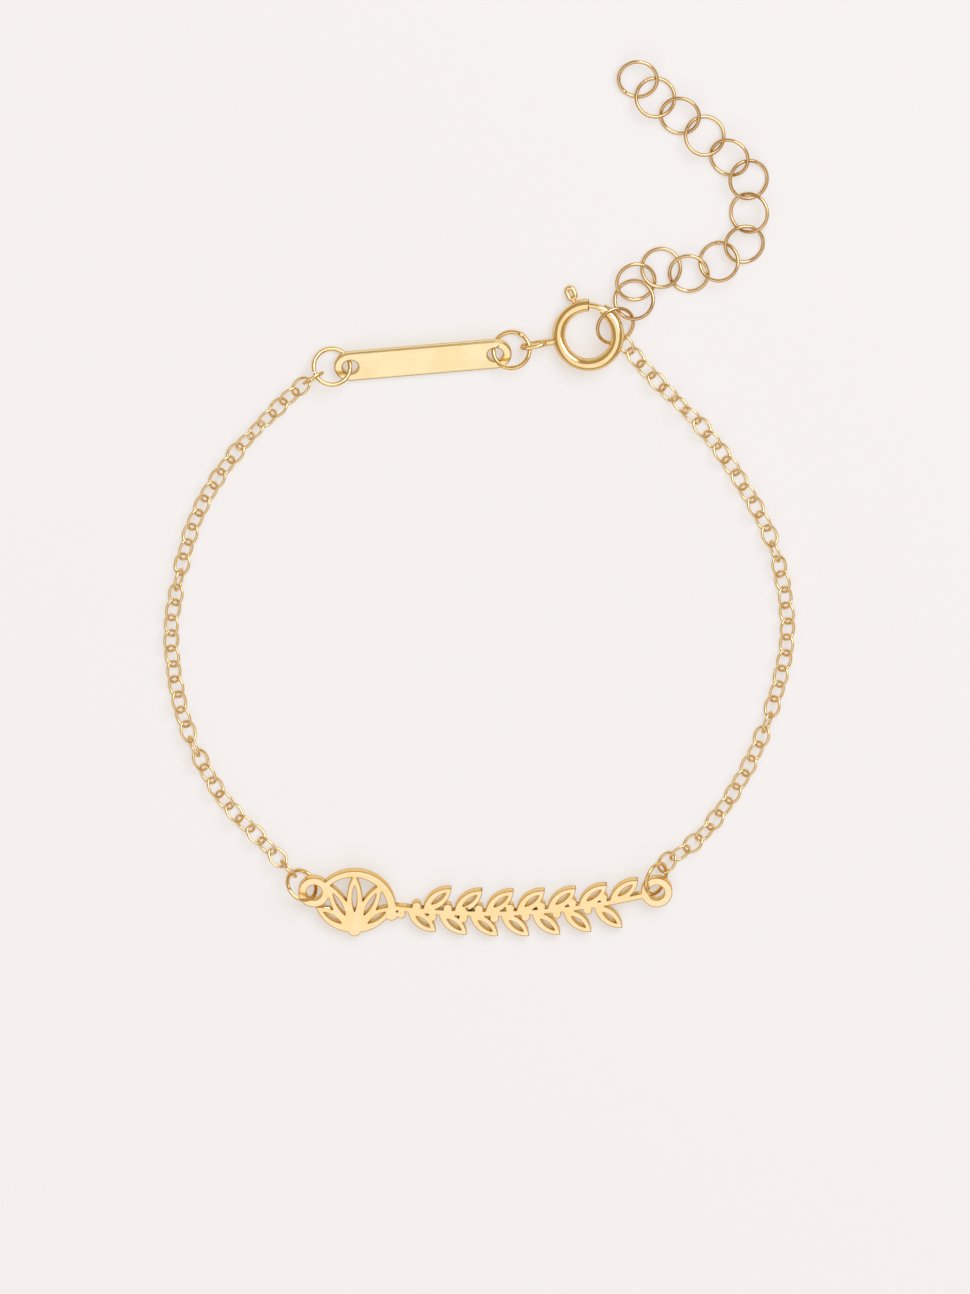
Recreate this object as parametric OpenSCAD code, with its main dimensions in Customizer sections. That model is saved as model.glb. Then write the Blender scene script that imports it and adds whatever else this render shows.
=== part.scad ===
// Nameplate bracelet with an extender, laid out on a flat surface.
// A pierced plate of laurel leaves hangs between two lengths of fine cable chain.
// The left chain ends in a bare tag and a spring ring clasp, and the right chain in
// the extender of round rings, whose last ring the clasp holds.
// Millimetres, +Z up, the surface at z = 0, the origin under the middle of the piece.

/* [Loop] */
// Width of the loop of chain as it lies
loop_w = 51.4; // [48:0.1:56]
// Height of the loop as it lies, from the plate to the clasp
loop_h = 48.5; // [46:0.1:52]

/* [Nameplate] */
// Length over both eyelets
plate_len = 31.2; // [29:0.1:34]
// Height of the whole plate, at the fan of leaves
plate_h = 5.8; // [5.2:0.1:6.6]
// Length of a leaf on the stem
leaf_len = 3.1; // [2.7:0.1:3.4]
// Width of a leaf on the stem
leaf_w = 1.3; // [1:0.05:1.4]
// Diameter of a berry on the stem
berry_d = 0.75; // [0.65:0.05:0.85]
// Thickness of the plate
plate_t = 0.8; // [0.5:0.05:0.9]
// Width of the finest line in the pierced work
hairline = 0.45; // [0.35:0.05:0.6]
// Diameter of an eyelet over its rim
eyelet_d = 2.6; // [2.3:0.05:3]
// Diameter of an eyelet's hole
eyelet_hole_d = 1.35; // [1.2:0.05:1.45]
// Lean of the plate as it rests on its two rings, in degrees
plate_lean = 7; // [4:0.5:9]

/* [Tag] */
// Length of the tag
tag_len = 14.8; // [12:0.1:18]
// Width of the tag, and the diameter of its round ends
tag_w = 2.7; // [2.4:0.05:3.2]
// Thickness of the tag
tag_t = 0.45; // [0.35:0.05:0.5]
// Diameter of the hole at each end of the tag
tag_hole_d = 1.3; // [1.2:0.05:1.5]
// Lean of the tag as it rests on its rings, in degrees
tag_lean = 20; // [16:0.5:24]
// Heading of the tag, from the left hole to the right one, in degrees
tag_turn = 5; // [0:1:10]

/* [Jump rings] */
// Outer diameter of the rings at the tag
jump_d = 3.4; // [3.2:0.05:3.6]
// Wire of the rings at the tag
jump_wire = 0.36; // [0.3:0.01:0.4]
// Outer diameter of the rings at the plate
plate_ring_d = 3; // [2.8:0.05:3.2]
// Wire of the rings at the plate
plate_ring_wire = 0.32; // [0.28:0.01:0.36]

/* [Chain] */
// Outer length of a chain link
link_len = 2.02; // [1.9:0.01:2.2]
// Outer width of a chain link
link_w = 1.6; // [1.4:0.05:1.7]
// Wire of a chain link
link_wire = 0.24; // [0.2:0.01:0.28]
// Gap left between the wires of two hooked links along the chain
link_slack = 0.18; // [0.14:0.01:0.22]

/* [Extender] */
// Outer diameter of an extender ring
extender_d = 3.5; // [3.3:0.05:3.7]
// Wire of an extender ring
extender_wire = 0.3; // [0.25:0.01:0.34]

/* [Spring ring clasp] */
// Outer diameter of the clasp
clasp_d = 6; // [5.5:0.1:6.5]
// Outer diameter of the clasp's tube
tube_d = 1.05; // [1:0.01:1.15]
// Bore of the tube
tube_bore = 0.64; // [0.6:0.01:0.68]
// Diameter of the sprung bolt that closes the gate
bolt_d = 0.5; // [0.46:0.01:0.54]
// Diameter of the sleeve that receives the bolt's tip
sleeve_d = 0.9; // [0.85:0.01:0.95]
// Travel of the bolt as the thumb knob is drawn back, in degrees
bolt_travel = 36; // [32:1:40]
// Length of the knob's wire loop
knob_len = 1.35; // [1.2:0.05:1.5]
// Width of the knob's wire loop
knob_w = 1.0; // [0.9:0.05:1.1]
// Wire of the knob's loop
knob_wire = 0.4; // [0.35:0.01:0.44]
// Length of the eye soldered to the clasp
eye_len = 2.3; // [2.1:0.05:2.5]
// Width of the eye
eye_w = 1.5; // [1.4:0.05:1.6]
// Wire of the eye
eye_wire = 0.4; // [0.36:0.01:0.42]
// Length of the neck between the clasp and its eye
eye_neck = 0.5; // [0.45:0.01:0.6]

/* [Hidden] */
$fn = 72;

// Gaps beside the knob in its slot, and under the knob's loop
slot_gap = 0.07;
knob_gap = 0.07;

// A place on the surface plan, in shares of the loop's half width and of its height
function on_plan(share) = [share[0] * loop_w / 2, share[1] * loop_h];

// Brings the middle of the whole piece over the origin
centring = on_plan([0.0027, 0.0019]);
// Middle of the plate, and where its eyelets are
plate_pos = centring + on_plan([0.0175, -0.7113]);
eyelet_x = (plate_len - eyelet_d) / 2;
eyelet_y = 0.67 * plate_h;
// Fan of leaves beside the left eyelet, the bead at its foot and the tip of its bow
fan_x = 0.35 * plate_len;
fan_r = 0.6 * plate_h;
fan_drop = 0.33 * plate_h;
fan_leaf_w = 0.39 * fan_r;
fan_angles = [34, 62, 90, 118, 146];
fan_bead_d = 0.33 * fan_r;
fan_tip = 8;
// Stem that sags from the fan to the right eyelet, with its lowest leaf tip at y = 0
leaf_spread = 40;
stem_low = leaf_len * sin(leaf_spread);
stem_sag = eyelet_y - stem_low;
stem_r = (pow(eyelet_x, 2) + pow(stem_sag, 2)) / (2 * stem_sag);
stem_from = fan_r - fan_x;
// Leaves with their berries along the stem, and how far a berry is from its leaf's foot
sprig_count = 14;
sprig_first = stem_from + 0.3 * leaf_len;
sprig_last = eyelet_x - eyelet_d / 2 - 0.85 * leaf_len;
berry_off = 0.17 * leaf_len;

// Middle of the tag
tag_pos = centring + on_plan([-0.1848, 0.2433]);
tag_reach = (tag_len - tag_w) / 2;

// Where each jump ring lies: centre beside its hole in shares of the ring's radius,
// then its tilt and the heading of the line it tilts about, in degrees
//             across  along  tilt  heading
tag_lay =    [-1.01, -0.03,  23,     -8];
clasp_lay =  [ 0.88,  0.205, 21.5,   20];
left_lay =   [-0.77,  0.385, 46.5,  -41];
right_lay =  [-0.04,  0.81,  52.5, -103];

// The clasp: where its eye lies from the middle of its ring in shares of the ring's
// radius, how far its lowest point lies off the surface, its lean and the heading of
// the line it leans about
eye_lay = [1.243, 0.264];
clasp_lift = 0.05;
clasp_lean = 11.4;
clasp_turn = 48;
// The gate opens from the tube's cut end to the sleeve, counted round the clasp
gate_start = 90;
gate_end = 62;
sleeve_arc = 10;
knob_angle = 113.5;
bolt_tip = gate_end - 5;
bolt_tail = gate_start + 60;
// The eye's place round the clasp, its rise and its roll
eye_angle = 191.5;
eye_rise = 8;
eye_roll = 78;

// The extender's rings from the free end: centre from where the clasp holds the last
// one and height off the surface in shares of a ring's diameter, tilt, and heading of
// the line it tilts about
hold_angle = 19.5;
//    across   along   tilt  heading  off
extender_route = [
    [ 0.510,  5.931,    14,    170, 0],
    [ 0.924,  5.488,    14,    -25, 0],
    [ 1.510,  5.045,  14.5,    152, 0],
    [ 2.096,  4.560,    14,  -29.5, 0],
    [ 2.681,  4.045,  20.5,    131, 0],
    [ 3.139,  3.503,  15.5,    -92, 0],
    [ 3.153,  2.703,  20.5,     74, 0],
    [ 3.039,  1.931,    15,   -133, 0],
    [ 2.439,  1.517,  21.5,   27.5, 0],
    [ 1.724,  1.217,  12.5,  161.5, 0],
    [ 1.067,  1.345,     9,      3, 0],
    [ 0.467,  1.017,  14.5,   -138, 0],
    [ 0.424,  0.588,  18.5,     21, 0],
    [-0.019, -0.012,    27,   -124, 0.077]
];
extender_names = [for (i = [1:len(extender_route)]) str("extender_ring_", i)];

// The chains' routes over the surface in shares of the loop, from the clasp's side to
// the plate
left_route = [
    [-0.611, 0.181], [-0.790, 0.080], [-0.918, -0.033], [-0.984, -0.165],
    [-1.000, -0.264], [-0.957, -0.396], [-0.844, -0.522], [-0.712, -0.602]
];
right_route = [
    [0.560, 0.212], [0.716, 0.126], [0.844, 0.029], [0.949, -0.082],
    [0.996, -0.214], [0.969, -0.328], [0.879, -0.464], [0.739, -0.584]
];
// The links that hook through the rings at both ends of each chain: heading away from
// the ring, middle's distance from the ring's wire in shares of a link's length, its
// rise above the wire in shares of a link's width, turn
//              heading   away    rise  turn
left_hooks =  [[ 210.5,  0.163, -0.096,  -73],
               [ 130.0,  0.193, -0.091,   72]];
right_hooks = [[ -63.5,  0.242,  0.029,   36],
               [  54.0,  0.173, -0.052,   27]];

// Turns of a link about the chain: the mean, how much it varies, and the odd link
// that lies on its edge
link_roll = 38;
link_roll_vary = 4;
edge_link = 11;
edge_roll = 26;
// How far the flattest links are held off the surface by their neighbours
chain_lift = 0.02;

// Heading of a flat vector
function heading(v) = atan2(v[1], v[0]);

// A unit vector on the surface
function dir(a) = [cos(a), sin(a), 0];

// Radius of a round ring's centreline
function mid_r(d, wire) = (d - wire) / 2;

// Height of the centre of a ring that tilts with its lowest point on the surface
function rest_z(r, wire, tilt) = r * sin(tilt) + wire / 2;

// The point of a ring's centreline that lies towards a heading, for a ring at c that
// tilts about the line with the heading turn
function ring_point(c, r, tilt, turn, towards) =
    let (a = atan2(sin(towards - turn), cos(towards - turn) * cos(tilt)))
    c + r * [
        cos(a) * cos(turn) - sin(a) * cos(tilt) * sin(turn),
        cos(a) * sin(turn) + sin(a) * cos(tilt) * cos(turn),
        -sin(a) * sin(tilt)
    ];

// Ring: a round wire of centreline radius r, at its centre with its tilt and turn
module ring(c, r, wire, tilt, turn) {
    translate(c) rotate([0, 0, turn]) rotate([-tilt, 0, 0])
        rotate_extrude() translate([r, 0]) circle(d = wire);
}

// Oval link: two half rings joined by straight wires, long along X
module oval_link(len, width, wire) {
    bend_r = (width - wire) / 2;
    straight = (len - width) / 2;
    for (side = [-1, 1]) {
        translate([side * straight, 0, 0])
            rotate([0, 0, side * -90])
                rotate_extrude(angle = 180)
                    translate([bend_r, 0]) circle(d = wire);
        translate([-straight, side * bend_r, 0])
            rotate([0, 90, 0]) cylinder(d = wire, h = 2 * straight);
    }
}

// Chain link: an oval of round wire, long along X, whose quarters mirror each other. The middles of
// the link, an end and a side make a triangle of sides 3:4:5, so the arcs meet without a kink.
module chain_link() {
    reach = (link_len - link_wire) / 2;
    half = (link_w - link_wire) / 2;
    unit = (reach - half) / 2;
    end_r = half - unit;
    meet = atan2(4, 3);
    for (x_side = [0, 1], y_side = [0, 1]) mirror([x_side, 0, 0]) mirror([0, y_side, 0]) {
        translate([3 * unit, 0, 0])
            rotate_extrude(angle = meet) translate([end_r, 0]) circle(d = link_wire);
        translate([0, -4 * unit, 0]) rotate(meet)
            rotate_extrude(angle = 90 - meet) translate([end_r + 5 * unit, 0]) circle(d = link_wire);
    }
}

// Pointed leaf from the origin along +X: the overlap of two equal circles
module leaf(len, width) {
    r = (len * len + width * width) / (4 * width);
    intersection() {
        translate([len / 2, r - width / 2]) circle(r, $fn = 4 * $fn);
        translate([len / 2, width / 2 - r]) circle(r, $fn = 4 * $fn);
    }
}

// Half ring above the X axis that swells from thin at -X to thick at +X
module bow(r, thin, thick) {
    difference() {
        circle(r);
        translate([(thin - thick) / 2, 0]) circle(r - (thin + thick) / 2);
        translate([-2 * r, -2 * r]) square([4 * r, 2 * r]);
    }
}

// Length of a fan leaf at an angle, from the fan's foot to the middle of its bow
function fan_leaf_len(a) =
    fan_drop * sin(a) + sqrt(pow(fan_r - hairline / 2, 2) - pow(fan_drop * cos(a), 2));

// Fan of leaves with open veins under a bow that ends in a bead
module fan() {
    translate([-fan_x, plate_h - fan_r]) {
        rotate(-fan_tip) {
            bow(fan_r, hairline, 1.6 * hairline);
            translate([fan_r - 0.8 * hairline, 0]) circle(d = 2.2 * hairline);
        }
        translate([0, -fan_drop]) difference() {
            for (a = fan_angles)
                rotate(a) translate([-hairline / 3, 0])
                    leaf(fan_leaf_len(a) + hairline / 3, fan_leaf_w);
            for (a = fan_angles)
                rotate(a) translate([0.34 * fan_leaf_len(a), 0])
                    leaf(0.46 * fan_leaf_len(a), 0.3 * fan_leaf_w);
        }
    }
}

// Height of the stem's middle line at a place along the plate
function stem_y(x) = stem_low + stem_r - sqrt(pow(stem_r, 2) - pow(x, 2));

// Stem with leaves to both sides in turn, and a berry behind each leaf's foot
module garland() {
    intersection() {
        translate([0, stem_low + stem_r]) difference() {
            circle(stem_r + hairline / 2, $fn = 4 * $fn);
            circle(stem_r - hairline / 2, $fn = 4 * $fn);
        }
        translate([stem_from - hairline, 0]) square([eyelet_x - stem_from + hairline, plate_h]);
    }
    for (i = [0:sprig_count - 1]) {
        x = sprig_first + i * (sprig_last - sprig_first) / (sprig_count - 1);
        side = i % 2 * 2 - 1;
        translate([x, stem_y(x)]) {
            rotate(side * leaf_spread) difference() {
                leaf(leaf_len, leaf_w);
                translate([0.3 * leaf_len, 0]) leaf(0.5 * leaf_len, 0.3 * leaf_w);
            }
            translate([-berry_off, side * 0.8 * berry_off]) circle(d = berry_d);
        }
    }
}

// Outline of the plate, its lower edge on the X axis
module plate_outline() {
    difference() {
        union() {
            for (side = [-1, 1]) translate([side * eyelet_x, eyelet_y]) circle(d = eyelet_d);
            fan();
            translate([-fan_x, fan_bead_d / 2]) circle(d = fan_bead_d);
            garland();
        }
        for (side = [-1, 1]) translate([side * eyelet_x, eyelet_y]) circle(d = eyelet_hole_d);
    }
}

// Nameplate: the pierced plate, leaning back on the rings that hold it
module nameplate() {
    color("goldenrod") lay_plate() linear_extrude(plate_t) plate_outline();
}

// Puts what stands on the plate's lower edge in its place
module lay_plate() {
    translate([plate_pos[0], plate_pos[1], plate_h / 2 * sin(plate_lean)])
        rotate([plate_lean, 0, 0]) translate([0, -plate_h / 2, 0]) children();
}

// Centre of an eyelet on the surface plan
function eyelet_pos(side) =
    plate_pos + [side * eyelet_x, (eyelet_y - plate_h / 2) * cos(plate_lean)];

// Centre of a hole of the tag on the surface plan
function tag_hole_pos(side) = tag_pos + side * tag_reach * [cos(tag_turn), sin(tag_turn)];

// Centre of a ring laid beside its hole, resting on the surface
function laid_centre(hole, lay, r, wire) =
    [hole[0] + lay[0] * r, hole[1] + lay[1] * r, rest_z(r, wire, lay[2])];

jump_r = mid_r(jump_d, jump_wire);
plate_ring_r = mid_r(plate_ring_d, plate_ring_wire);
extender_r = mid_r(extender_d, extender_wire);
clasp_r = mid_r(clasp_d, tube_d);

tag_ring_c = laid_centre(tag_hole_pos(-1), tag_lay, jump_r, jump_wire);
clasp_ring_c = laid_centre(tag_hole_pos(1), clasp_lay, jump_r, jump_wire);
left_ring_c = laid_centre(eyelet_pos(-1), left_lay, plate_ring_r, plate_ring_wire);
right_ring_c = laid_centre(eyelet_pos(1), right_lay, plate_ring_r, plate_ring_wire);

// The plan of a point of the clasp's own flat circle, once the clasp leans
function leaned(r, a) =
    r * [
        cos(a - clasp_turn) * cos(clasp_turn)
            - sin(a - clasp_turn) * cos(clasp_lean) * sin(clasp_turn),
        cos(a - clasp_turn) * sin(clasp_turn)
            + sin(a - clasp_turn) * cos(clasp_lean) * cos(clasp_turn)
    ];

eye_reach = clasp_r + (tube_d / 2 + eye_neck + eye_len / 2) * cos(eye_rise);
clasp_pos = tag_hole_pos(1) + jump_r * [clasp_lay[0] + eye_lay[0], clasp_lay[1] + eye_lay[1]]
    - leaned(eye_reach, eye_angle);
clasp_c = [clasp_pos[0], clasp_pos[1], rest_z(clasp_r, tube_d, clasp_lean) + clasp_lift];

// Plate rings: the jump rings through the plate's eyelets
module plate_ring_left() {
    color("gold") ring(left_ring_c, plate_ring_r, plate_ring_wire, left_lay[2], left_lay[3]);
}

module plate_ring_right() {
    color("gold") ring(right_ring_c, plate_ring_r, plate_ring_wire, right_lay[2], right_lay[3]);
}

// Tag: a bare plate with round ends and a hole at each end
module tag() {
    z = tag_w / 2 * sin(tag_lean) + tag_t / 2 * cos(tag_lean);
    color("khaki")
        translate([tag_pos[0], tag_pos[1], z]) rotate([0, 0, tag_turn]) rotate([tag_lean, 0, 0])
            linear_extrude(tag_t, center = true)
                difference() {
                    union() {
                        square([2 * tag_reach, tag_w], center = true);
                        for (side = [-1, 1]) translate([side * tag_reach, 0]) circle(d = tag_w);
                    }
                    for (side = [-1, 1]) translate([side * tag_reach, 0]) circle(d = tag_hole_d);
                }
}

// Tag rings: the jump rings through the tag's two holes
module tag_ring() {
    color("gold") ring(tag_ring_c, jump_r, jump_wire, tag_lay[2], tag_lay[3]);
}

module clasp_link_ring() {
    color("gold") ring(clasp_ring_c, jump_r, jump_wire, clasp_lay[2], clasp_lay[3]);
}

// Centre of an extender ring from its row of the route
function extender_c(row) =
    let (p = clasp_pos + leaned(clasp_r, hold_angle) + extender_d * [row[0], row[1]])
    [p[0], p[1], rest_z(extender_r, extender_wire, row[2]) + extender_d * row[4]];

// Extender ring: one of the round rings, counted from the free end
module extender_ring(i) {
    row = extender_route[i - 1];
    color("gold") ring(extender_c(row), extender_r, extender_wire, row[2], row[3]);
}

// Puts what is built round the origin in the clasp's place, with its lean
module lay_clasp() {
    translate(clasp_c) rotate([0, 0, clasp_turn]) rotate([-clasp_lean, 0, 0])
        rotate([0, 0, -clasp_turn]) children();
}

// Arc of the clasp's circle with the profile that is drawn round its centreline
module clasp_arc(from, to) {
    rotate([0, 0, from]) rotate_extrude(angle = to - from) translate([clasp_r, 0]) children();
}

// Clasp body: the tube with its sleeve, its slot for the knob, and the soldered eye
module clasp_body() {
    sleeve_end = gate_end - sleeve_arc;
    slot_w = knob_wire + 2 * slot_gap;
    slot_side = asin(slot_w / clasp_d);
    color("goldenrod") lay_clasp() {
        difference() {
            union() {
                clasp_arc(gate_start, sleeve_end + 360) circle(d = tube_d);
                clasp_arc(sleeve_end - 1, gate_end) circle(d = sleeve_d);
                rotate([0, 0, eye_angle]) translate([clasp_r, 0, 0]) rotate([0, -eye_rise, 0])
                    translate([(tube_bore + tube_d) / 4, 0, 0]) rotate([0, 90, 0])
                        cylinder(d = 1.5 * eye_wire, h = (tube_d - tube_bore) / 4 + eye_neck + eye_wire / 2);
            }
            clasp_arc(gate_start - 1, gate_end + 361) circle(d = tube_bore);
            clasp_arc(knob_angle - slot_side, knob_angle + bolt_travel + slot_side)
                translate([0, -slot_w / 2]) square([tube_d, slot_w]);
        }
        rotate([0, 0, eye_angle]) translate([clasp_r, 0, 0]) rotate([0, -eye_rise, 0])
            translate([tube_d / 2 + eye_neck + eye_len / 2, 0, 0]) rotate([eye_roll, 0, 0])
                oval_link(eye_len, eye_w, eye_wire);
    }
}

// Clasp bolt: the curved bolt with its thumb knob, which slides round inside the tube
module clasp_bolt() {
    color("gold") lay_clasp() {
        clasp_arc(bolt_tip, bolt_tail) circle(d = bolt_d);
        rotate([0, 0, knob_angle]) {
            translate([clasp_r, 0, 0]) rotate([0, 90, 0])
                cylinder(d = knob_wire, h = tube_d / 2 + knob_gap + knob_wire / 2);
            translate([clasp_d / 2 + knob_gap + knob_len / 2, 0, 0])
                oval_link(knob_len, knob_w, knob_wire);
        }
    }
}

// Points of a smooth curve through the points p, in short steps
function curve(p, steps) = concat(
    [for (i = [0:len(p) - 2], k = [0:steps - 1])
        let (
            a = p[max(i - 1, 0)], b = p[i], c = p[i + 1], d = p[min(i + 2, len(p) - 1)],
            t = k / steps
        )
        0.5 * (2 * b + (c - a) * t + (2 * a - 5 * b + 4 * c - d) * t * t
            + (3 * b - a - 3 * c + d) * t * t * t)],
    [p[len(p) - 1]]
);

// Distance travelled along the points c up to each of them
function travelled(c) = [
    for (i = 0, s = 0; i < len(c); i = i + 1, s = s + (i < len(c) ? norm(c[i] - c[i - 1]) : 0)) s
];

// The point at the distance s along the points c, whose distances are in run
function along(c, run, s) = [
    for (axis = [0:2]) lookup(s, [for (i = [0:len(c) - 1]) [run[i], c[i][axis]]])
];

// Turn of an inner link about the chain, before its side
function roll_of(i) =
    link_roll + link_roll_vary * sin(137 * i) + (i % edge_link == edge_link / 2 - 0.5 ? edge_roll : 0);

// Height of a link's centre when it rests on the surface with a turn about the chain
function link_rest_z(roll) = rest_z(mid_r(link_w, link_wire), link_wire, abs(roll));

// Chain: links strung along the route between two rings, hooked through both, each
// turned to the other side of the one before
module chain(route, ring_points, hooks) {
    ends = [for (k = [0, 1])
        ring_points[k] + hooks[k][1] * link_len * dir(hooks[k][0]) + [0, 0, hooks[k][2] * link_w]];
    floor_z = link_rest_z(link_roll) + chain_lift;
    on_floor = [for (share = route) let (p = centring + on_plan(share)) [p[0], p[1], floor_z]];
    path = curve(concat([ends[0]], on_floor, [ends[1]]), 12);
    run = travelled(path);
    total = run[len(run) - 1];
    side = -sign(hooks[0][3]);
    odd = side * hooks[1][3] > 0 ? 0 : 1;
    n = 2 * ceil((total / (link_len - 2 * link_wire - link_slack) + 1 - odd) / 2) + odd;
    rolls = [for (i = [0:n - 1])
        i == 0 ? hooks[0][3] : i == n - 1 ? hooks[1][3] : side * (i % 2 * 2 - 1) * roll_of(i)];
    at = [for (i = [0:n - 1])
        let (
            s = total * i / (n - 1),
            p = along(path, run, s),
            ahead = along(path, run, min(s + link_len / 4, total)),
            back = along(path, run, max(s - link_len / 4, 0)),
            slope = abs(ahead[2] - back[2]) / norm(ahead - back)
        )
        i == 0 || i == n - 1 ? p :
        [p[0], p[1], max(p[2], floor_z) + link_rest_z(rolls[i]) - link_rest_z(link_roll)
            + (link_len - link_w) / 2 * slope]];
    for (i = [0:n - 1]) {
        d = i == 0 ? dir(hooks[0][0]) : i == n - 1 ? -dir(hooks[1][0]) : at[i + 1] - at[i - 1];
        translate(at[i])
            rotate([0, -asin(d[2] / norm(d)), heading(d)]) rotate([rolls[i], 0, 0])
                chain_link();
    }
}

module chain_left() {
    color("gold") chain(
        left_route,
        [ring_point(tag_ring_c, jump_r, tag_lay[2], tag_lay[3], left_hooks[0][0]),
         ring_point(left_ring_c, plate_ring_r, left_lay[2], left_lay[3], left_hooks[1][0])],
        left_hooks
    );
}

module chain_right() {
    last = extender_route[len(extender_route) - 1];
    color("gold") chain(
        right_route,
        [ring_point(extender_c(last), extender_r, last[2], last[3], right_hooks[0][0]),
         ring_point(right_ring_c, plate_ring_r, right_lay[2], right_lay[3], right_hooks[1][0])],
        right_hooks
    );
}

nameplate();
plate_ring_left();
plate_ring_right();
chain_left();
chain_right();
tag();
tag_ring();
clasp_link_ring();
clasp_body();
clasp_bolt();
for (i = [1:len(extender_names)])
    extender_ring(i);
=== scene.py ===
"""Looks of a fine cable chain bracelet with a pierced plate, a bare tag, a spring ring clasp
and an extender of round rings, lying on a pale surface.

Lengths are in millimetres in the classes' fields and in metres on every mesh, unless said
otherwise. Angles are in degrees, but for those that a function of math gives or takes.
"""

import logging
from math import asin, atan2, ceil, copysign, cos, degrees, pi, radians, sin
from collections.abc import Callable
from dataclasses import dataclass, field
from enum import Enum

import bmesh
import bpy
import numpy as np
from mathutils import Matrix, Vector


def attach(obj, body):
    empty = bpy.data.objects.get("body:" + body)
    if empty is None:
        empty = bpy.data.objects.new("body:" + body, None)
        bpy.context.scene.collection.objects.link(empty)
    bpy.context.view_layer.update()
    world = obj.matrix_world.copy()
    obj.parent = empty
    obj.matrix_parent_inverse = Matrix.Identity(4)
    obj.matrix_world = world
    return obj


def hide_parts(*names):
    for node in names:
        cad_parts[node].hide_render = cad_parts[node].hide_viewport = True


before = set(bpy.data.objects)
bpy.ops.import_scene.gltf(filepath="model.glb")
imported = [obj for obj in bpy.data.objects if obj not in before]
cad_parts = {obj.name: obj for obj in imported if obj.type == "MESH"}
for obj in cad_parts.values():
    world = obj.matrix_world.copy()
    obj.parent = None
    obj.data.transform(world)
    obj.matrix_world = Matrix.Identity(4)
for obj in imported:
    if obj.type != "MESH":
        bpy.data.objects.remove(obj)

MM = 0.001
MICRON = 0.000001
# Points closer than this, in metres, are one point
MERGE = 1e-7
BRACELET = "bracelet"
BOLT = "clasp_bolt"
LOG = logging.getLogger("bracelet")

Piece = bpy.types.Object
Socket = bpy.types.NodeSocket
Point = tuple[float, float, float]
Pair = tuple[float, float]
PlaceTest = Callable[[Vector], bool]


# Geometry shared by the pieces


def heading_vector(angle: float) -> Vector:
    """Returns the unit vector on the surface with a heading."""
    return Vector((cos(radians(angle)), sin(radians(angle)), 0))


def rest_height(radius: float, wire: float, tilt: float) -> float:
    """Returns the height of a tilted ring's centre when its lowest point is on the surface."""
    return radius * sin(radians(abs(tilt))) + wire / 2


def turned(heading: float, pitch: float = 0, roll: float = 0) -> Matrix:
    """Returns the turn that rolls about X, then pitches about Y, then heads about Z."""
    turn = Matrix.Rotation(radians(heading), 4, "Z") @ Matrix.Rotation(radians(pitch), 4, "Y")
    return turn @ Matrix.Rotation(radians(roll), 4, "X")


def hold(piece: Piece) -> None:
    """Selects one piece alone and makes it active.

    Args:
        piece: The piece.
    """
    for other in bpy.context.selected_objects:
        other.select_set(False)
    piece.select_set(True)
    bpy.context.view_layer.objects.active = piece


def name_new(name: str) -> Piece:
    """Names the piece just added and its mesh.

    Args:
        name: The name.

    Returns:
        The piece.
    """
    piece = bpy.context.active_object
    piece.name = piece.data.name = name
    return piece


def add_torus(name: str, radius: float, wire: float, around: int, across: int) -> Piece:
    """Returns a new flat ring of round wire, in metres, with segments around and across."""
    bpy.ops.mesh.primitive_torus_add(
        major_radius=radius, minor_radius=wire / 2, major_segments=around, minor_segments=across
    )
    return name_new(name)


def settle(piece: Piece) -> None:
    """Puts a piece's place, turn and scale into its mesh."""
    hold(piece)
    bpy.ops.object.transform_apply(location=True, rotation=True, scale=True)


def put(piece: Piece, matrix: Matrix) -> None:
    """Moves a piece by a matrix and puts the move into its mesh.

    Args:
        piece: The piece.
        matrix: The move.
    """
    piece.matrix_world = matrix @ piece.matrix_world
    bpy.context.view_layer.update()
    settle(piece)


def pick(piece: Piece, wanted: PlaceTest = lambda p: True, mode: str = "VERT") -> None:
    """Opens edit mode on a piece with the wanted vertices or faces selected.

    Args:
        piece: The piece.
        wanted: A test of a vertex's place or of a face's middle.
        mode: VERT or FACE.
    """
    hold(piece)
    bpy.ops.object.mode_set(mode="EDIT")
    bpy.ops.mesh.select_mode(type=mode)
    bpy.ops.mesh.select_all(action="DESELECT")
    mesh = bmesh.from_edit_mesh(piece.data)
    for part in mesh.verts if mode == "VERT" else mesh.faces:
        if wanted(part.co if mode == "VERT" else part.calc_center_median()):
            part.select = True
    mesh.select_flush_mode()
    bmesh.update_edit_mesh(piece.data)


def close_edit() -> None:
    """Leaves edit mode."""
    bpy.ops.object.mode_set(mode="OBJECT")


def spin(sweep: float, steps: int, middle: Point = (0, 0, 0)) -> None:
    """Sweeps what is selected, by radians and anticlockwise, round an upright line."""
    bpy.ops.mesh.spin(steps=steps, angle=-sweep, center=middle, axis=(0, 0, 1))


def twin_of(piece: Piece, name: str) -> Piece:
    """Copies a piece with its mesh.

    Args:
        piece: The piece.
        name: The copy's name.

    Returns:
        The copy.
    """
    twin = piece.copy()
    twin.data = piece.data.copy()
    twin.name = twin.data.name = name
    bpy.context.collection.objects.link(twin)
    return twin


def join_pieces(pieces: list[Piece], name: str) -> Piece:
    """Joins pieces into one.

    Args:
        pieces: The pieces.
        name: The joined piece's name.

    Returns:
        The joined piece.
    """
    hold(pieces[0])
    for piece in pieces[1:]:
        piece.select_set(True)
    if len(pieces) > 1:
        bpy.ops.object.join()
    return name_new(name)


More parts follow.
